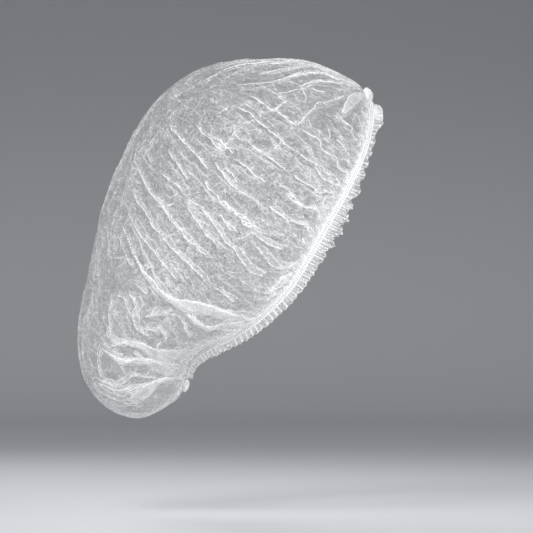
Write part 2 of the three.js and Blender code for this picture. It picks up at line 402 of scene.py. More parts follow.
REAR_CRUMPLES = CreaseChart(Look(Mark.LONG, 1.3, 1.2, 1.1), 1.15, (
    ((115, 290), (114, 302), (112, 314), (113, 324), (110, 332), (115, 341)),
    ((119, 294), (127, 299), (131, 308), (135, 315), (137, 322)),
    ((130, 290), (136, 298), (139, 303), (136, 312), (137, 322), (140, 328), (148, 333), (153, 334)),
    ((144, 328), (152, 329), (159, 329), (162, 326), (166, 331), (168, 336), (168, 343)),
    ((165, 339), (160, 345), (163, 350), (168, 353), (175, 355), (182, 350), (192, 344), (203, 341),
     (213, 335)),
    ((146, 315), (156, 313), (167, 311), (178, 310)),
    ((158, 305), (155, 312), (152, 317)),
    ((180, 314), (185, 322), (190, 331), (196, 336)),
    ((182, 309), (192, 310), (196, 321), (202, 324), (210, 326), (212, 329), (219, 325), (227, 321)),
    ((111, 347), (118, 343), (127, 341), (135, 345), (146, 347), (152, 351), (158, 353)),
    ((111, 353), (118, 356), (125, 361), (133, 360), (141, 358), (152, 361), (157, 359), (165, 363),
     (172, 368), (178, 375)),
    ((135, 351), (144, 356), (152, 361)),
    ((152, 365), (160, 369), (168, 372), (177, 375), (183, 379), (185, 381)),
    ((98, 376), (106, 381), (118, 385), (127, 380), (135, 374), (145, 375), (155, 376), (160, 380),
     (168, 378), (174, 379)),
    ((114, 388), (125, 395), (133, 388), (141, 385), (151, 383)),
    ((96, 386), (106, 392), (116, 397), (127, 399), (140, 401), (152, 393), (161, 383)),
    ((106, 397), (116, 402), (127, 405), (135, 404)),
    ((160, 350), (164, 356), (171, 360), (176, 366), (183, 368)),
    ((180, 361), (187, 357), (197, 351), (198, 357), (197, 361)),
    ((104, 345), (101, 362), (104, 380)),
))

SMALL_CREASES = CreaseChart(Look(Mark.SMALL, 0.9, 1.2, 1.1), 0.85, (
    ((283, 140), (276, 152), (262, 160)),
    ((236, 132), (229, 146), (214, 156)),
    ((297, 203), (290, 192), (278, 187)),
    ((254, 228), (246, 238), (232, 240)),
    ((157, 198), (170, 205), (180, 204)),
    ((92, 300), (88, 325), (90, 352), (97, 378)),
    ((99, 268), (94, 292), (95, 322)),
    ((106, 235), (101, 262), (101, 285)),
    ((84, 318), (83, 342), (87, 366)),
    ((118, 210), (112, 240), (110, 262)),
    ((115, 354), (122, 362), (130, 376)),
    ((148, 362), (154, 368), (150, 377)),
    ((112, 394), (122, 400), (134, 403), (146, 408)),
    ((100, 391), (116, 405), (138, 413), (158, 408)),
))

CHARTS = (SIDE_CREASES, FRONT_PLEATS, EDGE_CURLS, REAR_CRUMPLES, SMALL_CREASES)


@dataclass(frozen=True)
class FoldBand:
    """A strip where the web lies double, as corners (x, y, half width) in the side view's pixels."""

    height: float
    shine: float
    corners: tuple[Place, ...]


FOLD_BANDS = (
    FoldBand(1.6, 1.0, ((118, 214, 0.4), (126, 231, 0.6), (139, 258, 0.9), (148, 274, 1.6), (156, 284, 2.6),
                        (166, 294, 2.4), (177, 301, 3.6), (192, 305, 5.6), (207, 308, 6.0), (222, 313, 5.0),
                        (240, 317, 4.4), (262, 316, 2.0))),
    FoldBand(1.0, 0.8, ((188, 309, 0.6), (195, 318, 1.4), (209, 327, 2.6), (224, 325, 3.8), (246, 322, 3.6),
                        (262, 316, 1.2))),
    FoldBand(1.0, 0.7, ((111, 332, 0.5), (115, 340, 1.6), (124, 343, 1.8), (134, 342, 2.2), (146, 347, 4.0),
                        (160, 353, 6.5), (176, 354, 8.5), (192, 351, 7.0), (210, 343, 4.5), (230, 333, 2.0))),
    FoldBand(1.1, 0.8, ((102, 344, 0.5), (110, 352, 1.4), (120, 359, 3.0), (134, 361, 3.2), (147, 360, 3.4),
                        (160, 363, 4.8), (174, 367, 5.6), (186, 369, 4.0))),
    FoldBand(1.1, 0.8, ((98, 382, 0.6), (108, 386, 2.0), (118, 389, 2.6), (128, 389, 2.2), (136, 382, 1.0))),
    FoldBand(1.3, 1.1, ((128, 398, 0.8), (136, 396, 3.6), (144, 392, 6.4), (152, 386, 6.0), (160, 381, 3.2),
                        (172, 378, 1.6), (184, 377, 1.2))),
    FoldBand(0.7, 1.3, ((363, 94, 2.0), (357, 98, 4.6), (351, 104, 5.2), (346, 110, 3.4), (340, 117, 0.6))),
    FoldBand(0.9, 0.8, ((362, 91, 1.8), (348, 85, 2.4), (335, 83, 2.2), (322, 83, 1.6), (312, 85, 1.1),
                        (303, 88, 0.7), (292, 93, 0.4))),
    FoldBand(0.9, 0.8, ((360, 88, 2.2), (348, 82, 3.4), (335, 78, 3.2), (324, 74, 2.6), (312, 74, 1.9),
                        (302, 76, 1.4), (286, 81, 0.8), (262, 88, 0.4))),
    FoldBand(0.8, 0.8, ((352, 80, 2.2), (334, 73, 2.6), (320, 69, 2.2), (305, 69, 1.5), (280, 72, 1.1),
                        (250, 78, 0.6))),
    FoldBand(0.7, 0.8, ((336, 69, 1.6), (310, 63, 1.6), (275, 63, 1.2), (240, 68, 0.9), (206, 82, 0.4))),
)


@dataclass(frozen=True)
class LaidCrease:
    """One crease on the crown, with corners as (share, arch), or a fold with its band's half widths."""

    corners: np.ndarray
    look: Look
    shine: float
    seed: float
    halves: np.ndarray | None = None


def any_seed(rng: np.random.Generator) -> float:
    """Draws a seed for the noise of one crease."""
    return float(rng.uniform(0, 99))


class WebRelief:
    """Collects creases and folds over the points of the smooth crown."""

    # How far from its line a crease changes the web, in millimetres
    REACH = 9.0
    # The shares of a crease's length over which it starts and ends
    START, END = 0.12, 0.18
    # A curve has this many steps for each of its corners
    STEPS = 9

    def __init__(self, share: np.ndarray, arch: np.ndarray, base: np.ndarray, normals: np.ndarray) -> None:
        """Takes the crown's points, one a row, with their places and normals."""
        self.share, self.arch = share, arch
        self.base, self.normals = base, normals
        self.relief = np.zeros(len(base))
        self.marks = {mark: np.full((len(base), 2), (self.REACH, 0.0))
                      for mark in (Mark.LONG, Mark.SMALL, Mark.FOLD)}
        self.trees = {side: self._tree(side) for side in Side}

    def _tree(self, side: Side) -> kdtree.KDTree:
        """Returns a tree of one side's points in the side view."""
        chosen = np.nonzero(self.arch * side.value > 0.02)[0]
        tree = kdtree.KDTree(len(chosen))
        for i in chosen:
            tree.insert((self.base[i, 0], 0.0, self.base[i, 2]), int(i))
        tree.balance()
        return tree

    def from_chart(self, points: np.ndarray, side: Side) -> tuple[np.ndarray, float]:
        """Turns pixels of the side view into places on one side of the crown.

        Args:
            points: rows of (x, y) in pixels.
            side: the crown's side.

        Returns:
            Rows of (share, arch), and how far off the crown the worst pixel is, in millimetres.
        """
        x = (points[:, 0] - CHART_CENTRE[0]) * MM_PER_PIXEL
        z = (CHART_CENTRE[1] - points[:, 1]) * MM_PER_PIXEL
        found = [self.trees[side].find((float(a), 0.0, float(b)))[1:] for a, b in zip(x, z)]
        index = [one[0] for one in found]
        return np.stack([self.share[index], self.arch[index]], -1), max(one[1] for one in found)

    def _line(self, crease: LaidCrease) -> np.ndarray:
        """Returns a crease's own line over the crown, with its wiggle."""
        places = curve_through(crease.corners, np.linspace(0, 1, self.STEPS * len(crease.corners)))
        line = FORM.crown(places[:, 0], np.clip(places[:, 1], -0.995, 0.995))
        tangent = unit(np.gradient(line, axis=0))
        sideways = unit(np.cross(unit(line - np.array(FORM.middle)), tangent))
        wiggle, seed = crease.look.wiggle, crease.seed
        stray = wiggle * soft_noise(line, 6.0, seed) + 0.45 * wiggle * soft_noise(line, 2.6, seed + 3)
        return line + sideways * stray[:, None]

    def _measure(self, line: np.ndarray, near: np.ndarray) -> tuple[np.ndarray, np.ndarray, np.ndarray]:
        """Measures some of the points against a line.

        Returns:
            Each point's distance, its sign for the line's two sides, and how far along the line it
            is, from 0 to 1.
        """
        steps = np.diff(line, axis=0)
        offset = self.base[near][:, None] - line[None, :-1]
        along = np.clip((offset * steps).sum(-1) / np.maximum((steps * steps).sum(-1), 1e-9), 0, 1)
        gap = offset - along[..., None] * steps
        lengths = (gap * gap).sum(-1)
        best = lengths.argmin(1)
        row = np.arange(len(near))
        turn = np.cross(self.normals[near], steps[best])
        sign = np.sign((turn * gap[row, best]).sum(-1) + 1e-9)
        return np.sqrt(lengths[row, best]), sign, (best + along[row, best]) / len(steps)

    def lay(self, crease: LaidCrease) -> None:
        """Adds one crease or fold to the relief and to the record of where its line runs."""
        line, look, store = self._line(crease), crease.look, self.marks[crease.look.mark]
        fold = crease.halves is not None
        reach = self.REACH + (crease.halves.max() if fold else 0.0)
        near = np.nonzero(((self.base > line.min(0) - reach) & (self.base < line.max(0) + reach)).all(1))[0]
        if not len(near):
            return
        distance, sign, part = self._measure(line, near)
        taper = smooth(part / self.START) * smooth((1 - part) / self.END)
        if fold:
            signed = distance - np.interp(part, np.linspace(0, 1, len(crease.halves)), crease.halves)
            rise = look.height * taper * (1 - smooth((signed + 1.0) / 2.0))
            strength = crease.shine * taper * (1 - smooth((signed - 2.0) / 2.0))
            closer = signed < store[near, 0]
        else:
            signed = distance * sign
            profile = np.exp(-(distance / look.width) ** 1.3)
            trough = 0.25 * np.exp(-((distance - 2.6 * look.width) / (1.6 * look.width)) ** 2)
            rise = look.height * taper * (profile - trough)
            strength = crease.shine * taper * (1 - smooth((distance - 3.0) / 2.5))
            closer = np.abs(signed) < np.abs(store[near, 0])
        closer &= strength > 0.01
        store[near[closer]] = np.stack([signed, strength], -1)[closer]
        taller = np.abs(rise) > np.abs(self.relief[near])
        self.relief[near[taller]] = rise[taller]


@dataclass
class WebSheet:
    """The crown: the thin web from one elastic over the top to the other.

    lift is how far it stands off the smooth crown, and gather_* the size of its gathers, in millimetres.
    The slanting creases lie in the box of slant_x and slant_y, in pixels of the side view, and turn by
    slant_degrees at slant_columns. flat, its flat size in metres, is not used.
    """

    name: str = "crown_web"
    node: str = "crown"
    rows: int = 352
    cells: int = 272
    lift: float = -0.5
    flat: Pair = (0.345, 0.456)
    seed: int = 41
    crest_fan: int = 9
    back_creases: int = 46
    slanting_creases: int = 110
    slant_x: Pair = (88, 345)
    slant_y: Pair = (92, 345)
    slant_columns: tuple[float, ...] = (100, 150, 200, 290, 340)
    slant_degrees: tuple[float, ...] = (72, 62, 48, 39, 42)
    curl_step: float = 0.021
    random_creases: int = 140
    gather_pitch: float = 4.6
    gather_height: float = 1.7
    gather_reach: float = 9.0

    def places(self) -> tuple[np.ndarray, np.ndarray]:
        """Returns share and arch over the grid, with arch spread by the real distance over the cap."""
        share = np.linspace(0, 1, self.rows + 1)
        arch = np.linspace(-1, 1, 801)
        gone = gone_along(FORM.crown(np.full(arch.shape, 0.45), arch))
        even = np.interp(np.linspace(0, 1, self.cells + 1), gone / gone[-1], arch)
        even[self.cells // 2] = 0.0
        return np.meshgrid(share, even, indexing="ij")

    def build(self) -> bpy.types.Object:
        """Models the web and returns its object."""
        share, arch = self.places()
        base = FORM.crown(share, arch)
        normals = unit(np.cross(np.gradient(base, axis=1), np.gradient(base, axis=0)))
        outward = np.sign(dot(normals, base - np.array(FORM.middle)))
        normals = normals * np.where(outward == 0, 1, outward)
        relief = WebRelief(share.ravel(), arch.ravel(), base.reshape(-1, 3), normals.reshape(-1, 3))
        self._lay_all(relief)
        gathers, packed = self._gathers(relief, base)
        points = relief.base + relief.normals * self._rise(relief, gathers)[:, None]
        piece = grid_sheet(self.name, points.reshape(base.shape), FORM.middle)
        self._mark(piece, relief, packed, base)
        return piece

    def _rise(self, relief: WebRelief, gathers: np.ndarray) -> np.ndarray:
        """Returns how far each point stands off the smooth crown, which fades out along the seams."""
        seams = (1 - np.abs(relief.arch), relief.share, 1 - relief.share)
        fade = smooth(seams[0] / 0.02) * smooth(seams[1] / 0.02) * smooth(seams[2] / 0.02)
        sag = 0.9 * soft_noise(relief.base, 22.0, 3.0) + 0.35 * soft_noise(relief.base, 8.0, 5.0)
        front = np.linalg.norm(relief.base - FRONT_KNOT, axis=1)
        near_front = 0.3 + 0.7 * smooth((front - 6) / 40)
        return np.clip(relief.relief + gathers + sag, -2.2, 1.7) * near_front * fade + self.lift

    def _lay_all(self, relief: WebRelief) -> None:
        """Lays the charted creases and folds on both sides, then small ones between them."""
        rng = np.random.default_rng(self.seed)
        for side in Side:
            for chart in CHARTS:
                for line in chart.lines:
                    corners, _ = relief.from_chart(self._shifted(np.array(line, float), side), side)
                    relief.lay(LaidCrease(corners, chart.look, chart.shine, any_seed(rng)))
            for fold in FOLD_BANDS:
                chart_corners = np.array(fold.corners, float)
                corners, _ = relief.from_chart(self._shifted(chart_corners[:, :2], side), side)
                relief.lay(LaidCrease(corners, Look(Mark.FOLD, fold.height, 1.0, 1.0), fold.shine,
                                      any_seed(rng), chart_corners[:, 2] * MM_PER_PIXEL))
        self._lay_crest(relief, rng)
        self._lay_slanting(relief, rng)
        self._lay_curls(relief, rng)
        self._lay_random(relief, rng)

    def _shifted(self, points: np.ndarray, side: Side) -> np.ndarray:
        """Returns chart points, moved a little on the left so that the two sides differ."""
        if side is Side.RIGHT:
            return points
        wave = np.stack([6 * np.sin(points[:, 1] / 37 + 1), 5 * np.sin(points[:, 0] / 31 + 2)], -1)
        return points + wave

    def _lay_crest(self, relief: WebRelief, rng: np.random.Generator) -> None:
        """Lays long creases that fan from the front tab over the crest, and others down the back."""
        fan, back = Look(Mark.LONG, 1.8, 2.0, 0.9), Look(Mark.SMALL, 1.3, 1.5, 0.9)
        for start in np.linspace(-0.3, 0.3, self.crest_fan):
            length = rng.uniform(0.14, 0.30)
            share = np.linspace(0.01, length, 5)
            arch = start * (0.75 + 0.5 * share / length) + rng.normal(0, 0.008, 5)
            relief.lay(LaidCrease(np.stack([share, arch], -1), fan, 0.8, any_seed(rng)))
        for _ in range(self.back_creases):
            first = rng.uniform(0.25, 0.88)
            share = first + np.linspace(0, rng.uniform(0.05, 0.16), 5)
            arch = rng.uniform(-0.3, 0.3) + np.cumsum(rng.normal(0.012, 0.012, 5)) * rng.choice((-1, 1))
            relief.lay(LaidCrease(np.stack([share, arch], -1), back, rng.uniform(0.4, 0.75), any_seed(rng)))

    def _lay_slanting(self, relief: WebRelief, rng: np.random.Generator) -> None:
        """Lays thin creases side by side over each side, along the pull of the stretched web."""
        for side in Side:
            for _ in range(self.slanting_creases):
                x, y = rng.uniform(*self.slant_x), rng.uniform(*self.slant_y)
                slope = np.interp(x, self.slant_columns, self.slant_degrees) + rng.normal(0, 4.5)
                across, down = np.cos(np.radians(slope)), np.sin(np.radians(slope))
                reach = rng.uniform(14, 62) * np.linspace(-0.5, 0.5, 5)
                bow = rng.normal(0, 5.0) * (1 - np.linspace(-1, 1, 5) ** 2)
                points = np.stack([x + reach * across - bow * down, y + reach * down + bow * across], -1)
                corners, off = relief.from_chart(points, side)
                shine = rng.uniform(0.3, 0.75)
                if off < 2.5:
                    look = Look(Mark.SMALL, 0.9 * shine, 1.2, 0.9)
                    relief.lay(LaidCrease(corners, look, shine, any_seed(rng)))

    def _lay_curls(self, relief: WebRelief, rng: np.random.Generator) -> None:
        """Lays curly creases that run out of the gathers beside each elastic."""
        look, run = Look(Mark.SMALL, 1.1, 1.2, 1.3), np.linspace(0, 1, 6)
        for side in Side:
            for share in np.arange(0.03, 0.97, self.curl_step):
                start = share + rng.normal(0, 0.004)
                reach = rng.uniform(0.05, 0.17) * (1.3 if share > 0.6 else 1.0)
                arch = side.value * (0.99 - reach * run)
                curl = np.cumsum(rng.normal(0, 0.008, 6)) - rng.uniform(0, 0.03) * run
                corners = np.stack([np.clip(start + curl, 0.005, 0.995), arch], -1)
                relief.lay(LaidCrease(corners, look, rng.uniform(0.4, 0.8), any_seed(rng)))

    def _lay_random(self, relief: WebRelief, rng: np.random.Generator) -> None:
        """Lays many short creases in all directions, most of them along the long ones."""
        for _ in range(self.random_creases):
            share, arch = rng.uniform(0.06, 0.97), rng.uniform(-0.97, 0.97)
            turn = rng.normal(0.9, 0.5) if rng.random() < 0.6 else rng.uniform(0, math.pi)
            reach = rng.uniform(0.012, 0.05)
            step = np.array([math.cos(turn) * reach, math.sin(turn) * reach * 2.1 * -np.sign(arch)])
            corners = np.array([(share, arch)]) + np.arange(4)[:, None] * step / 2
            corners += rng.normal(0, 0.15 * reach, corners.shape)
            look = Look(Mark.SMALL, rng.uniform(0.5, 1.2), rng.uniform(1.0, 1.4), 0.8)
            relief.lay(LaidCrease(corners, look, rng.uniform(0.3, 0.6), any_seed(rng)))

    def _gathers(self, relief: WebRelief, base: np.ndarray) -> tuple[np.ndarray, np.ndarray]:
        """Works out the gathers along the elastics and the pleats at the two tabs.

        Returns:
            Their height in millimetres, and how closely packed the web is, for each point.
        """
        share, arch = relief.share, relief.arch
        gone = gone_along(base)
        edge = np.minimum(gone, gone[:, -1:] - gone).ravel()
        path = FORM.elastic_length() * FORM.along_elastic(share)
        apart = np.sign(arch) * 30
        stray = soft_noise(np.stack([path, arch * 9, apart], -1), 13.0, 8.0)
        fine = soft_noise(np.stack([path, edge * 0.35, apart], -1), 3.4, 9.0)
        wave = 0.5 * np.sin(2 * np.pi * (path / self.gather_pitch + 0.9 * stray)) + 0.5 * fine
        gathers = self.gather_height * wave * np.exp(-edge / self.gather_reach) * smooth(edge / 2.0)
        front = np.linalg.norm(relief.base - FRONT_KNOT, axis=1)
        rear = np.linalg.norm(relief.base - REAR_KNOT, axis=1)
        fan = np.sin(arch * 17 + 2.2 * stray) + 0.5 * np.sin(arch * 37 + 3 * stray)
        pleats = 1.1 * fan * (np.exp(-front / 30) + np.exp(-rear / 26))
        spread = 5.0 + 3.0 * smooth((share - 0.5) / 0.2)
        # packed also whitens the web's colour: the gathered web here is really layered, and part of its
        # whiteness is a painted highlight
        packed = 0.9 * np.exp(-(edge / spread) ** 1.4) * (0.75 + 0.5 * wave) + 0.9 * np.exp(-front / 14)
        packed = packed + 0.6 * np.exp(-rear / 16) + 0.3 * np.maximum(fan, 0) * np.exp(-front / 34)
        return gathers + pleats, packed

    def _mark(self, piece: bpy.types.Object, relief: WebRelief, packed: np.ndarray, base: np.ndarray) -> None:
        """Writes what the finish reads: the lines, the folds, how packed the web is, and its own map."""
        for mark, rows in relief.marks.items():
            write_attribute(piece, mark, rows)
        write_attribute(piece, Mark.PACKED, packed[:, None])
        over = gone_along(base)
        over = over - over[:, [self.cells // 2]]
        along = np.repeat(gone_along(base[:, self.cells // 2])[:, None], base.shape[1], 1)
        write_map(piece, along.ravel() / WEB_MAP + 0.01, over.ravel() / WEB_MAP + 0.5)


def only(piece: bpy.types.Object | None) -> None:
    """Leaves one object selected and active, or none."""
    bpy.ops.object.select_all(action="DESELECT")
    bpy.context.view_layer.objects.active = piece
    if piece:
        piece.select_set(True)


def new_grid(name: str, rows: int, cells: int) -> bpy.types.Object:
    """Adds a flat grid of rows by cells and names it."""
    only(None)
    bpy.ops.mesh.primitive_grid_add(x_subdivisions=cells, y_subdivisions=rows, size=1.0)
    piece = bpy.context.object
    piece.name = piece.data.name = name
    return piece


def move_points(piece: bpy.types.Object, points: np.ndarray) -> None:
    """Moves a mesh's points to places in millimetres."""
    piece.data.vertices.foreach_set("co", (points * MM).astype(np.float32).ravel())
    piece.data.update()


def smooth_shade(piece: bpy.types.Object) -> None:
    """Shades a piece smooth."""
    only(piece)
    bpy.ops.object.shade_smooth()


@contextmanager
def editing(piece: bpy.types.Object) -> Iterator[None]:
    """Opens one piece in edit mode with all of it selected, and leaves edit mode afterwards."""
    only(piece)
    bpy.ops.object.mode_set(mode="EDIT")
    bpy.ops.mesh.select_all(action="SELECT")
    yield
    bpy.ops.object.mode_set(mode="OBJECT")


def close_solid(piece: bpy.types.Object) -> None:
    """Merges a closed mesh's doubled points, turns its faces outwards and shades it smooth."""
    with editing(piece):
        bpy.ops.mesh.remove_doubles(threshold=SAME_POINT)
        bpy.ops.mesh.normals_make_consistent(inside=False)
    smooth_shade(piece)


def grid_sheet(name: str, points: np.ndarray, middle: Place) -> bpy.types.Object:
    """Models a sheet as a grid, moved to a table of points.

    Args:
        name: the piece's name.
        points: rows by columns of places in millimetres.
        middle: a point on the sheet's inner side.

    Returns:
        The object, shaded smooth, with its faces turned away from the middle.
    """
    piece = new_grid(name, points.shape[0] - 1, points.shape[1] - 1)
    move_points(piece, points)
    r, c = points.shape[0] // 2, points.shape[1] // 4
    normal = np.cross(points[r, c + 1] - points[r, c], points[r + 1, c] - points[r, c])
    if float(np.dot(normal, points[r, c] - np.array(middle))) < 0:
        with editing(piece):
            bpy.ops.mesh.flip_normals()
    smooth_shade(piece)
    return piece


def write_attribute(piece: bpy.types.Object, mark: Mark, values: np.ndarray) -> None:
    """Stores one or two numbers a point, a row each, as a vector attribute."""
    layer = piece.data.attributes.new(mark.value, "FLOAT_VECTOR", "POINT")
    rows = np.zeros((len(values), 3), np.float32)
    rows[:, :values.shape[1]] = values
    layer.data.foreach_set("vector", rows.ravel())


def write_map(piece: bpy.types.Object, u: np.ndarray, v: np.ndarray) -> None:
    """Writes a piece's own map from one place a point."""
    mesh = piece.data
    corner = np.empty(len(mesh.loops), np.int32)
    mesh.loops.foreach_get("vertex_index", corner)
    layer = mesh.uv_layers.active or mesh.uv_layers.new(name=CLOTH_MAP)
    layer.name = CLOTH_MAP
    layer.uv.foreach_set("vector", np.stack([u[corner], v[corner]], -1).astype(np.float32).ravel())


@dataclass
class Ruffle:
    """The gathered edge of the web outside one elastic.

    Its places are shares of its length: it starts plain until front_until, has one lobe at front_lobe
    and a dip at front_dip, and its lobes are pointed between the two places in pointed. flat, its flat
    size in metres, and cut_share, the share of it that its cut outline takes up, are not used. Its other
    sizes are in millimetres.
    """

    side: Side
    node: str
    pitch: float = 4.6
    columns_a_pleat: int = 20
    rows: int = 12
    seam: float = 1.0
    swing: float = 1.5
    fold_over: float = 0.42
    lobe_pitch: float = 10.5
    first_round: float = 9.0
    front_until: float = 0.085
    front_lobe: float = 0.115
    front_dip: float = 0.15
    pointed: Pair = (0.16, 0.52)
    flat: Pair = (0.010, 0.36)
    cut_share: float = 0.8

    def build(self) -> bpy.types.Object:
        """Models the ruffle and returns its object."""
        length = FORM.elastic_length()
        pleats = round(length / self.pitch)
        share = np.linspace(0, 1, pleats * self.columns_a_pleat + 1)[None, :]
        out = np.linspace(0, 1, self.rows + 1)[:, None]
        seed = 2.0 + self.side.value
        stray, slow, quick = (line_noise(share[0] * length, size, seed + more)[None, :]
                              for size, more in ((9.0, 0), (17.0, 5), (5.0, 9)))
        lean = 2 * np.pi * (share * pleats + 0.55 * stray) + 0.9 * out * slow
        valley = ((lean / (2 * np.pi) + 0.5) % 1) - 0.5
        front = 1 - smooth((share - self.front_until) / 0.03)
        ends = smooth(share / 0.02) * smooth((1 - share) / 0.02) * (1 - 0.7 * front)
        grow = (0.28 + 0.72 * out ** 0.8) * ends
        along = share * length - self.fold_over * grow * np.sin(2 * lean)
        place = FORM.even_places(np.clip(along / length, 0, 1))
        box = 0.55 - 1.5 * np.exp(-(valley / 0.17) ** 2)
        height = self.swing * grow * (1 + 0.5 * quick) * box + 1.6 * out ** 2 * slow * ends
        height = height - 0.3 + 0.6 * np.sin(np.pi * out) * front
        loose = 1 - 0.85 * front
        lobes = 1 + (0.22 * slow + 0.16 * quick - 0.17 * np.cos(lean)) * loose + 0.02 * front
        lobes = lobes + self._lobes(share, share * length / self.lobe_pitch + 0.35 * slow)
        depth = FORM.shape(FORM.along_crown(place))[..., 2]
        start = np.sqrt(smooth(share * length / self.first_round))
        reach = (self.seam + out * (1.1 + depth * lobes)) * start
        points = FORM.beside(place, reach, height, self.side)
        piece = grid_sheet(f"{self.node}_web", points, (FORM.middle[0], 0.0, FORM.middle[2]))
        # packed whitens the colour too: at the pleat walls, the front lobe, the seam and the hem the ruffle
        # lies really doubled, and part of its whiteness is a painted highlight
        wall = np.exp(-((np.abs(valley) - 0.2) / 0.06) ** 2) * loose
        packed = 0.08 + 0.75 * wall + 0.7 * front
        packed = packed + 0.45 * np.exp(-out * 5) + 0.5 * smooth((out - 0.86) / 0.08)
        write_attribute(piece, Mark.PACKED, packed.reshape(-1, 1))
        grid = np.broadcast_arrays(share * 0.9, out * 12 / WEB_MAP)
        write_map(piece, grid[0].ravel(), grid[1].ravel())
        return piece

    def _lobes(self, share: np.ndarray, waves: np.ndarray) -> np.ndarray:
        """Returns how much deeper the ruffle is at its pointed lobes and its one lobe and dip in front.

        Args:
            share: places along it.
            waves: the pointed lobes' place, one to a lobe.
        """
        first, last = self.pointed
        pointed = smooth((share - first) / 0.06) * smooth((last - share) / 0.1)
        point = 2 * np.abs((waves % 1) - 0.5)
        lobe = np.exp(-((share - self.front_lobe) / 0.014) ** 2)
        dip = np.exp(-((share - self.front_dip) / 0.02) ** 2)
        return pointed * (0.75 * point - 0.32) + 0.25 * lobe - 0.4 * dip


@dataclass
class StitchedElastic:
    """One flat elastic with two rails of thread, a thin one between, and the stitches that cross them.

    Its sizes are in millimetres. middle_share is the thin rail's thickness over the others'.
    """

    side: Side
    node: str
    width: float = 3.6
    thickness: float = 0.85
    rail_at: float = 1.36
    rail_radius: float = 0.39
    middle_share: float = 0.5
    stitch_pitch: float = 1.8
    stitch_radius: float = 0.3
    stitch_slant: float = 0.18
    step: float = 0.75
    channel: float = 0.16

    def build(self) -> list[bpy.types.Object]:
        """Models the cord, its rails and its stitches, and returns their objects."""
        rails = (("upper", -self.rail_at, 1.0), ("lower", self.rail_at, 1.0),
                 ("middle", 0.0, self.middle_share))
        return [self._cord(), *(self._rail(*rail) for rail in rails), self._stitches()]

    def _tube(self, name: str, ring: np.ndarray, swell: np.ndarray, at: Pair) -> bpy.types.Object:
        """Models a closed tube along the elastic.

        Args:
            name: the piece's name.
            ring: its outline as rows of (across, out), first and last alike.
            swell: its size at each step along its length, as a share.
            at: how far across the elastic and outwards its middle lies.
        """
        length = np.linspace(0.002, 0.998, len(swell))[:, None]
        across, out = (at[k] + ring[None, :, k] * swell[:, None] for k in range(2))
        place = FORM.even_places(np.broadcast_to(length, across.shape))
        points = FORM.beside(place, across, out, self.side)
        piece = new_grid(name, len(swell) - 1, len(ring) - 1)
        move_points(piece, points)
        write_map(piece, np.broadcast_to(length, across.shape).ravel(),
                  np.broadcast_to(np.linspace(0, 0.02, len(ring)), across.shape).ravel())
        self._close_ends(piece)
        close_solid(piece)
        return piece

    def _close_ends(self, piece: bpy.types.Object) -> None:
        """Merges the tube's long seam and fills its two ends."""
        with editing(piece):
            bpy.ops.mesh.remove_doubles(threshold=SAME_POINT)
            bpy.ops.mesh.select_all(action="DESELECT")
            bpy.ops.mesh.select_mode(type="EDGE")
            bpy.ops.mesh.select_non_manifold(extend=False)
            bpy.ops.mesh.fill()
            bpy.ops.mesh.select_mode(type="VERT")

    def _cord(self) -> bpy.types.Object:
        """Models the flat cord, with a shallow channel between the rails."""
        turn = np.linspace(0, 2 * np.pi, 21)
        across = np.sign(np.cos(turn)) * np.abs(np.cos(turn)) ** 0.55 * self.width / 2
        out = np.sign(np.sin(turn)) * np.abs(np.sin(turn)) ** 0.7 * self.thickness / 2
        out = out - self.channel * np.exp(-(across / 0.7) ** 2) * (out > 0)
        ring = np.stack([across, out], -1)
        ring[-1] = ring[0]
        path = np.arange(round(FORM.elastic_length() / self.step) + 1) * self.step
        swell = 1 + 0.05 * line_noise(path, 2.2, 6.0 + self.side.value)
        piece = self._tube(f"{self.node}_cord", ring, swell, (0.0, 0.0))
        self._store_across(piece)
        return piece

    def _store_across(self, piece: bpy.types.Object) -> None:
        """Stores how far each of the cord's points lies across it and outwards."""
        frames = FORM.elastic_frame(FORM.even_places(np.linspace(0, 1, 1600)))
        for part in frames:
            part[:, 1] *= self.side.value
        middle, over, outward = frames
        tree = kdtree.KDTree(len(middle))
        for i, one in enumerate(middle):
            tree.insert(one, i)
        tree.balance()
        place = np.array([v.co[:] for v in piece.data.vertices]) / MM
        near = [tree.find(one)[1] for one in place]
        offset = place - middle[near]
        places = [(offset * over[near]).sum(-1), (offset * outward[near]).sum(-1)]
        write_attribute(piece, Mark.ACROSS, np.stack(places, -1))

    def _rail(self, which: str, at: float, share: float) -> bpy.types.Object:
        """Models one rail of thread, which swells over each stitch."""
        turn = np.linspace(0, 2 * np.pi, 8)
        ring = np.stack([np.cos(turn) * 1.25, np.sin(turn)], -1) * self.rail_radius * share
        ring[-1] = ring[0]
        steps = 5
        rings = round(FORM.elastic_length() / (self.stitch_pitch / steps))
        swell = 0.82 + 0.3 * np.abs(np.sin(np.pi * np.arange(rings + 1) / steps))
        return self._tube(f"{self.node}_rail_{which}", ring, swell, (at, self.thickness / 2))

    def _stitches(self) -> bpy.types.Object:
        """Models one cross stitch, repeats it along a straight line, and bends the row onto the elastic."""
        length = FORM.elastic_length()
        count = round(length / self.stitch_pitch)
        only(None)
        bpy.ops.mesh.primitive_uv_sphere_add(segments=6, ring_count=5, radius=1.0)
        piece = bpy.context.object
        piece.name = piece.data.name = f"{self.node}_stitches"
        with editing(piece):
            bpy.ops.transform.resize(value=(self.stitch_radius, self.rail_at, self.stitch_radius))
        row = piece.modifiers.new("row", "ARRAY")
        row.count = count
        row.use_relative_offset = False
        row.use_constant_offset = True
        row.constant_offset_displace = (length / count, 0, 0)
        bpy.ops.object.modifier_apply(modifier=row.name)
        flat = np.empty(len(piece.data.vertices) * 3, np.float32)
        piece.data.vertices.foreach_get("co", flat)
        flat = flat.reshape(-1, 3).astype(float)
        slant = flat[:, 0] + self.stitch_slant * flat[:, 1] + length / count / 2
        place = FORM.even_places(np.clip(slant / length, 0.003, 0.997))
        points = FORM.beside(place, flat[:, 1], flat[:, 2] + self.thickness / 2 - self.channel, self.side)
        move_points(piece, points)
        close_solid(piece)
        return piece


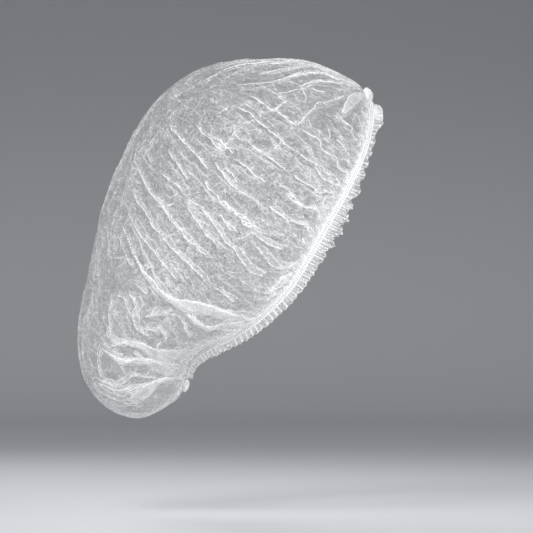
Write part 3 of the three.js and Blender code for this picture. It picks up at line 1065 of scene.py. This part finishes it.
@dataclass(frozen=True)
class PleatedTab:
    """A welded bundle of pleats where the web ends: an oval across the cap, centred on (x, z)."""

    node: str
    centre: Pair
    radii: Pair
    half: float
    tilt: float
    pleats: int
    seed: float
    steps_a_pleat: int = 10
    around: int = 72

    def build(self) -> bpy.types.Object:
        """Models the bundle and returns its object."""
        stops = self.pleats * self.steps_a_pleat
        along = np.linspace(-1, 1, stops + 1)[:, None]
        turn = np.linspace(0, 2 * np.pi, self.around + 1)[None, :]
        cos, sin = np.cos(turn), np.sin(turn)
        taper = np.clip(1 - np.abs(along) ** 2.6, 0, 1) ** 0.6
        wave = np.abs(np.cos(np.pi * self.pleats * (along + 1) / 2)) ** 1.3
        ring = np.stack(np.broadcast_arrays(cos * 5, sin * 5, along * 30), -1).reshape(-1, 3)
        fluff = soft_noise(ring, 3.0, self.seed).reshape(stops + 1, -1)
        slow = soft_noise(ring, 9.0, self.seed + 4).reshape(stops + 1, -1)
        petal = np.abs(np.sin(2.5 * turn + 2.2 * slow + 3.0 * along)) ** 1.5
        size = taper * (1 - 0.26 * wave * (1 - along ** 4))
        size = size * (0.86 + 0.22 * petal + 0.12 * fluff + 0.18 * slow)
        size[0] = size[-1] = 0
        x, z = size * cos * self.radii[0], size * sin * self.radii[1]
        angle = math.radians(self.tilt)
        points = np.stack([self.centre[0] + x * math.cos(angle) + z * math.sin(angle),
                           along * self.half + 0.5 * fluff * taper,
                           self.centre[1] - x * math.sin(angle) + z * math.cos(angle)], -1)
        points[:, -1] = points[:, 0]
        points[0], points[-1] = points[0].mean(0), points[-1].mean(0)
        piece = new_grid(f"{self.node}_pleats", stops, self.around)
        move_points(piece, points)
        close_solid(piece)
        return piece


# Finishes


class Value:
    """A number from a node's socket, with the usual arithmetic."""

    def __init__(self, paint: "Paint", socket: bpy.types.NodeSocket) -> None:
        """Wraps a socket of a material that is being painted."""
        self.paint, self.socket = paint, socket

    def _math(self, operation: str, first: "Value | float", second: "Value | float" = 0.0) -> "Value":
        """Adds a Math node and returns its result."""
        node = self.paint.add("ShaderNodeMath", {"operation": operation}, {0: first, 1: second})
        return Value(self.paint, node.outputs[0])

    def __add__(self, other: "Value | float") -> "Value":
        """Returns self + other."""
        return self._math("ADD", self, other)

    __radd__ = __add__

    def __sub__(self, other: "Value | float") -> "Value":
        """Returns self - other."""
        return self._math("SUBTRACT", self, other)

    def __rsub__(self, other: "Value | float") -> "Value":
        """Returns other - self."""
        return self._math("SUBTRACT", other, self)

    def __mul__(self, other: "Value | float") -> "Value":
        """Returns self * other."""
        return self._math("MULTIPLY", self, other)

    __rmul__ = __mul__

    def __abs__(self) -> "Value":
        """Returns the size of self."""
        return self._math("ABSOLUTE", self)

    def maximum(self, other: "Value | float") -> "Value":
        """Returns the larger of two values."""
        return self._math("MAXIMUM", self, other)

    def minimum(self, other: "Value | float") -> "Value":
        """Returns the smaller of two values."""
        return self._math("MINIMUM", self, other)

    def step(self, low: float, high: float) -> "Value":
        """Returns 0 at low and 1 at high, smoothly between, and clamped outside."""
        node = self.paint.add("ShaderNodeMapRange", {"interpolation_type": "SMOOTHSTEP"},
                              {"Value": self, "From Min": low, "From Max": high})
        return Value(self.paint, node.outputs[0])


class Paint:
    """A node material and the few calls that its finish is written with."""

    def __init__(self, name: str) -> None:
        """Makes an empty node material."""
        self.material = bpy.data.materials.new(name)
        self.material.use_nodes = True
        self.tree = self.material.node_tree
        self.shader = self.tree.nodes["Principled BSDF"]

    def add(self, kind: str, settings: dict, sockets: dict) -> bpy.types.Node:
        """Adds a node.

        Args:
            kind: the node's type.
            settings: its own settings by name.
            sockets: values, Values or sockets by the name or number of the input.

        Returns:
            The node.
        """
        node = self.tree.nodes.new(kind)
        for key, value in settings.items():
            setattr(node, key, value)
        for key, value in sockets.items():
            self.feed(self._input(node, key), value)
        return node

    def _input(self, node: bpy.types.Node, key: str | int) -> bpy.types.NodeSocket:
        """Returns an input that is in use, by its name or number."""
        if isinstance(key, int):
            return node.inputs[key]
        return next(s for s in node.inputs if s.name == key and s.enabled)

    def feed(self, target: bpy.types.NodeSocket, value: object) -> None:
        """Links a Value or socket to an input, or sets its number."""
        if isinstance(value, Value):
            value = value.socket
        if isinstance(value, bpy.types.NodeSocket):
            self.tree.links.new(value, target)
        else:
            target.default_value = value

    def surface(self, **sockets: object) -> None:
        """Sets the shader's own sockets, with _ for a space in a name."""
        for key, value in sockets.items():
            self.feed(self.shader.inputs[key.replace("_", " ")], value)

    def stored(self, mark: Mark) -> tuple[Value, Value]:
        """Returns the two numbers that a piece's points record."""
        node = self.add("ShaderNodeAttribute", {"attribute_name": mark.value}, {})
        parts = self.add("ShaderNodeSeparateXYZ", {}, {0: node.outputs["Vector"]})
        return Value(self, parts.outputs[0]), Value(self, parts.outputs[1])

    def cloth_place(self, unit_size: float) -> bpy.types.NodeSocket:
        """Returns the piece's own map, in millimetres of cloth."""
        node = self.add("ShaderNodeUVMap", {"uv_map": CLOTH_MAP}, {})
        return self.add("ShaderNodeMapping", {}, {"Vector": node.outputs[0],
                                                  "Scale": (unit_size,) * 3}).outputs[0]

    def object_place(self) -> bpy.types.NodeSocket:
        """Returns the place on the object in millimetres."""
        node = self.add("ShaderNodeTexCoord", {}, {})
        return self.add("ShaderNodeMapping", {}, {"Vector": node.outputs["Object"],
                                                  "Scale": (1 / MM,) * 3}).outputs[0]

    def noise(self, place: bpy.types.NodeSocket, size: Pair, turn: float, seed: float,
              detail: float = 1.0, distortion: float = 0.0) -> Value:
        """Returns noise of a given size in millimetres, turned by some degrees."""
        turned = self.add("ShaderNodeMapping", {}, {"Vector": place, "Rotation": (0, 0, math.radians(turn))})
        mapped = self.add("ShaderNodeMapping", {}, {
            "Vector": turned.outputs[0], "Location": (seed * 7.3, seed * 3.1, seed * 5.9),
            "Scale": (1 / size[0], 1 / size[1], 1 / size[1])})
        node = self.add("ShaderNodeTexNoise", {"noise_dimensions": "3D"}, {
            "Vector": mapped.outputs[0], "Scale": 1.0, "Detail": detail, "Distortion": distortion})
        return Value(self, node.outputs[0])

    def blend(self, factor: Value, low: Colour, high: Colour) -> bpy.types.NodeSocket:
        """Returns a colour between two, by a factor."""
        node = self.add("ShaderNodeMix", {"data_type": "RGBA"}, {"Factor": factor, "A": low, "B": high})
        return next(s for s in node.outputs if s.enabled)

    def bump(self, height: Value, distance: float, strength: float) -> bpy.types.NodeSocket:
        """Returns a normal that follows a height."""
        return self.add("ShaderNodeBump", {}, {"Height": height, "Distance": distance,
                                               "Strength": strength}).outputs[0]


@dataclass(frozen=True)
class FibreLayer:
    """Fibres that run one way: length and spacing in millimetres, direction, thickness and share."""

    length: float
    spacing: float
    turn: float
    width: float
    share: float


@dataclass(frozen=True)
class SpunWeb:
    """The see-through white web: random fine fibres, clouds, creases and folds.

    thin, fibre and cloud are how much the bare web, a fibre and a cloud of fibres hide what is behind.
    The bare web's grey colour is painted shade; the lines, fibres and packed web are painted whiter, partly
    as the really denser web and partly as a painted highlight.
    """

    name: str = "spun_web"
    thin: float = 0.05
    fibre: float = 0.35
    cloud: float = 0.11
    bare_web_painted_shade: Colour = (0.72, 0.725, 0.74, 1)
    white: Colour = (0.99, 0.99, 0.99, 1)
    layers: tuple[FibreLayer, ...] = (
        FibreLayer(6.6, 2.7, 20.0, 0.036, 1.0),
        FibreLayer(7.4, 2.9, 81.0, 0.036, 1.0),
        FibreLayer(6.2, 2.6, 139.0, 0.036, 1.0),
        FibreLayer(3.6, 2.8, 50.0, 0.032, 0.8),
    )

    def fibres(self, paint: Paint, place: bpy.types.NodeSocket) -> Value:
        """Returns 1 on the fibres and 0 between them."""
        total = None
        for i, layer in enumerate(self.layers):
            found = paint.noise(place, (layer.length, layer.spacing), layer.turn, 3.0 + i, 1.0, 0.5)
            line = (1 - abs(found - 0.5).step(0.0, layer.width)) * layer.share
            total = line if total is None else total + line
        uneven = paint.noise(place, (2.4, 2.4), 0.0, 17.0, 1.0).step(0.25, 0.6) * 0.5 + 0.5
        return (total * uneven).minimum(1.25)

    def material(self) -> bpy.types.Material:
        """Makes the material."""
        paint = Paint(self.name)
        place = paint.cloth_place(WEB_MAP)
        fibres = self.fibres(paint, place)
        cloud = paint.noise(place, (9.0, 9.0), 0.0, 21.0, 3.0).step(0.3, 0.7)
        stray = paint.noise(place, (2.6, 2.6), 0.0, 31.0, 2.0) - 0.5
        broken = paint.noise(place, (6.0, 6.0), 0.0, 37.0, 1.0).step(0.28, 0.6)
        long_line = self.line(paint, Mark.LONG, stray, broken, 0.54)
        short_line = self.line(paint, Mark.SMALL, stray, broken, 0.44)
        edge, double = paint.stored(Mark.FOLD)
        edge = edge + stray * 1.6
        inside = (1 - edge.step(-0.5, 0.35)) * double
        rim = (1 - abs(edge + 0.1).step(0.0, 0.75)) * double
        packed, _ = paint.stored(Mark.PACKED)
        packed = packed * (0.75 + cloud * 0.5)
        lines = long_line.maximum(short_line * 0.85).maximum(rim * 0.9)
        alpha = self.thin + fibres * (self.fibre - inside * 0.05) + cloud * self.cloud
        alpha = alpha + lines * 0.95 + inside * (0.32 + cloud * 0.20) + packed * 0.75
        # Painted light: the colour goes from the grey bare web, a painted shade, to white on lines, fibres
        # and packed web; there the web is really denser, and its extra whiteness is a painted highlight
        bright = (lines * 0.9 + fibres * 0.3 + packed * 0.45).minimum(1.0)
        height = fibres * 0.35 + lines * 0.9 + inside * 0.5
        paint.surface(Alpha=alpha.minimum(0.98), Base_Color=paint.blend(bright, self.bare_web_painted_shade, self.white),
                      Roughness=0.62 + cloud * 0.2, Specular_IOR_Level=0.35, Sheen_Weight=0.15,
                      Sheen_Roughness=0.5, Normal=paint.bump(height, 0.0005, 0.8))
        return paint.material

    def line(self, paint: Paint, mark: Mark, stray: Value, broken: Value, width: float) -> Value:
        """Returns 1 on the crest of a stored crease, fading in places and beside it."""
        distance, strength = paint.stored(mark)
        off = abs(distance + stray * 1.5)
        core = 1 - off.step(0.0, width * 1.4)
        skirt = (1 - (distance + stray * 1.2).step(0.2, 3.4)) * (distance + 0.4).step(0.0, 0.6) * 0.30
        return core.maximum(skirt) * strength * (broken * 0.55 + 0.45)


@dataclass(frozen=True)
class StitchedCord:
    """White elastic and thread, with a fine twist.

    channel is how far from the middle the outer face is painted darker, in millimetres: a painted shadow
    in the stitch holes of the channel between the rails, in the shade colour, which is also the grain's
    darker tone.
    """

    name: str
    white: Colour
    shade: Colour
    rough: float
    channel: float = 0.0

    def material(self) -> bpy.types.Material:
        """Makes the material."""
        paint = Paint(self.name)
        place = paint.object_place()
        grain = paint.noise(place, (0.5, 0.9), 30.0, 5.0, 3.0)
        patch = paint.noise(place, (6.0, 6.0), 0.0, 9.0, 2.0)
        bright = grain.step(0.35, 0.65) * 0.6 + patch * 0.4
        # Painted shadow: on the outer face between the rails the colour goes to shade, standing in for the
        # shade in the stitch holes
        if self.channel:
            across, out = paint.stored(Mark.ACROSS)
            inner = 1 - out.step(0.0, 0.2)
            beside = abs(across).step(self.channel - 0.15, self.channel + 0.1)
            bright = bright.maximum(inner) * 0.9 * beside.maximum(inner)
        paint.surface(Base_Color=paint.blend(bright.minimum(1.0), self.shade, self.white),
                      Roughness=self.rough + grain * 0.2, Sheen_Weight=0.2, Sheen_Roughness=0.4,
                      Normal=paint.bump(grain, 0.0002, 0.5))
        return paint.material


@dataclass(frozen=True)
class PackedWeb:
    """Many layers of the web pressed together, nearly opaque, with fibres and soft shadows."""

    name: str = "packed_web"
    shade: Colour = (0.80, 0.805, 0.815, 1)
    white: Colour = (0.90, 0.90, 0.90, 1)

    def material(self) -> bpy.types.Material:
        """Makes the material."""
        paint = Paint(self.name)
        place = paint.object_place()
        fibre = 1 - abs(paint.noise(place, (2.4, 0.9), 40.0, 2.0, 2.0, 0.6) - 0.5).step(0.0, 0.05)
        other = 1 - abs(paint.noise(place, (0.9, 2.2), 15.0, 6.0, 2.0, 0.6) - 0.5).step(0.0, 0.05)
        both = fibre.maximum(other)
        paint.surface(Base_Color=paint.blend(both, self.shade, self.white), Roughness=0.7 + both * 0.15,
                      Sheen_Weight=0.2, Sheen_Roughness=0.5, Normal=paint.bump(both, 0.0001, 0.5))
        return paint.material


@dataclass(frozen=True)
class PaleBoard:
    """The matt studio paper under and behind the part, pale below and painted darker up the wall: painted
    shade.
    """

    name: str = "pale_paper"
    tone: Colour = (0.70, 0.71, 0.73, 1)
    wall_painted_shade: Colour = (0.48, 0.49, 0.51, 1)
    span: Pair = (-150.0, 350.0)

    def material(self) -> bpy.types.Material:
        """Makes the material."""
        paint = Paint(self.name)
        parts = paint.add("ShaderNodeSeparateXYZ", {}, {0: paint.object_place()})
        # Painted shade: the paper is painted darker with height up the wall
        height = Value(paint, parts.outputs[2]).step(*self.span)
        paint.surface(Base_Color=paint.blend(height, self.tone, self.wall_painted_shade), Roughness=1.0,
                      Specular_IOR_Level=0.0)
        return paint.material


@dataclass(frozen=True)
class Paper:
    """The seamless paper, in metres: a floor that bends up into a wall."""

    near: float = -3.2
    bend_from: float = 1.5
    bend: float = 0.9
    wall: float = 2.6
    half: float = 4.0
    rows: int = 48
    floor_share: float = 0.40
    bend_share: float = 0.45

    def build(self, floor_z: float) -> None:
        """Models the paper with its floor at a height."""
        paper = new_grid("paper", self.rows, 2)
        run = np.linspace(0, 1, self.rows + 1)
        bent_share = self.floor_share + self.bend_share
        floor = np.clip(run / self.floor_share, 0, 1)
        angle = np.clip((run - self.floor_share) / self.bend_share, 0, 1) * math.pi / 2
        rise = np.clip((run - bent_share) / (1 - bent_share), 0, 1)
        y = self.near + (self.bend_from - self.near) * floor + self.bend * np.sin(angle)
        z = floor_z + self.bend * (1 - np.cos(angle)) + self.wall * rise
        x = np.tile((-self.half, 0.0, self.half), self.rows + 1)
        move_points(paper, np.stack([x, np.repeat(y, 3), np.repeat(z, 3)], -1) / MM)
        smooth_shade(paper)
        paper.data.materials.append(PaleBoard().material())


@dataclass(frozen=True)
class Softbox:
    """One square studio light, in metres and watts, with its spread in degrees."""

    name: str
    place: Place
    size: float
    power: float
    spread: float = 180.0

    def add(self, aim: Place) -> None:
        """Adds the light, turned to what it lights."""
        light = bpy.data.lights.new(self.name, "AREA")
        light.shape, light.size, light.energy = "SQUARE", self.size, self.power
        light.spread = math.radians(self.spread)
        lamp = bpy.data.objects.new(self.name, light)
        lamp.location = self.place
        lamp.rotation_euler = (Vector(aim) - Vector(self.place)).to_track_quat("-Z", "Y").to_euler()
        bpy.context.scene.collection.objects.link(lamp)


@dataclass
class Studio:
    """The seamless paper, the soft lights and the camera, in metres."""

    aim: Place = (-0.01015, 0.0, -0.0175)
    distance: float = 2.6
    seen_width: float = 0.3731
    floor_z: float = -0.19
    sensor: float = 36.0
    air: Colour = (0.95, 0.97, 1.0, 1)
    air_strength: float = 0.24
    lights: tuple[Softbox, ...] = (
        Softbox("key_light", (-0.6, -1.1, 1.1), 0.6, 12.0),
        Softbox("fill_light", (1.3, -1.2, 0.6), 0.8, 2.6, 80.0),
        Softbox("low_light", (0.0, -1.3, 0.2), 0.6, 0.9, 60.0),
        Softbox("back_light", (-0.6, 1.1, 0.7), 0.6, 1.5, 60.0),
    )

    def build(self) -> None:
        """Builds the studio."""
        Paper().build(self.floor_z)
        for light in self.lights:
            light.add(self.aim)
        world = bpy.data.worlds.new("studio_air")
        bpy.context.scene.world = world
        world.use_nodes = True
        sky = world.node_tree.nodes["Background"].inputs
        sky["Color"].default_value = self.air
        sky["Strength"].default_value = self.air_strength
        bpy.context.scene.view_settings.view_transform = "Standard"
        bpy.context.scene.cycles.transparent_max_bounces = 32
        self._camera()

    def _camera(self) -> None:
        """Places the camera level with the cap, at its right side."""
        lens = bpy.data.cameras.new("camera")
        lens.sensor_width = self.sensor
        lens.lens = self.sensor * self.distance / self.seen_width
        lens.clip_start, lens.clip_end = 0.05, 20.0
        camera = bpy.data.objects.new("camera", lens)
        camera.location = Vector(self.aim) - Vector((0, self.distance, 0))
        camera.rotation_euler = (math.pi / 2, 0, 0)
        bpy.context.scene.collection.objects.link(camera)
        bpy.context.scene.camera = camera


TABS = (
    PleatedTab("front_tab", (60.0, 101.3), (4.2, 6.0), 8.2, 8, 9, 3.0),
    PleatedTab("rear_tab", (-66.6, -100.6), (2.4, 4.6), 7.2, 12, 8, 7.0),
)
# The elastic's shade colour is its grain's darker tone and also its painted shadow between the rails
ELASTIC = StitchedCord("elastic_cord", (0.93, 0.93, 0.93, 1), (0.48, 0.48, 0.50, 1), 0.6, 0.95)
THREAD = StitchedCord("white_thread", (0.96, 0.96, 0.96, 1), (0.88, 0.88, 0.89, 1), 0.5)


class Hairnet:
    """The whole cap, piece by piece."""

    def build(self) -> None:
        """Builds, dresses and places every piece."""
        web, elastic, thread, packed = (look.material() for look in (SpunWeb(), ELASTIC, THREAD, PackedWeb()))
        sheet = WebSheet()
        crown = sheet.build()
        self._finish(crown, web, sheet.node)
        for side in Side:
            word = side.name.lower()
            cord, *threads = StitchedElastic(side, f"elastic_{word}").build()
            self._finish(cord, elastic, f"elastic_{word}")
            for piece in threads:
                self._finish(piece, thread, None)
            ruffle = Ruffle(side, f"ruffle_{word}")
            edge = ruffle.build()
            self._finish(edge, web, ruffle.node)
        for tab in TABS:
            self._finish(tab.build(), packed, tab.node)

    def _finish(self, piece: bpy.types.Object, material: bpy.types.Material,
                node: str | None) -> None:
        """Dresses a piece, puts it on its body and reports it.

        Args:
            piece: the object.
            material: its finish.
            node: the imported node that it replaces, if any.
        """
        piece.data.materials.clear()
        piece.data.materials.append(material)
        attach(piece, BODY)
        if node:
            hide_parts(node)
        box = np.array([corner[:] for corner in piece.bound_box]) / MM
        log.info("%s: %d faces, %s to %s mm", piece.name, len(piece.data.polygons),
                 box.min(0).round(1).tolist(), box.max(0).round(1).tolist())


def main() -> None:
    """Builds the cap and its studio."""
    logging.basicConfig(level=logging.INFO, format="%(name)s %(message)s")
    Studio().build()
    Hairnet().build()


if __name__ == "__main__":
    main()
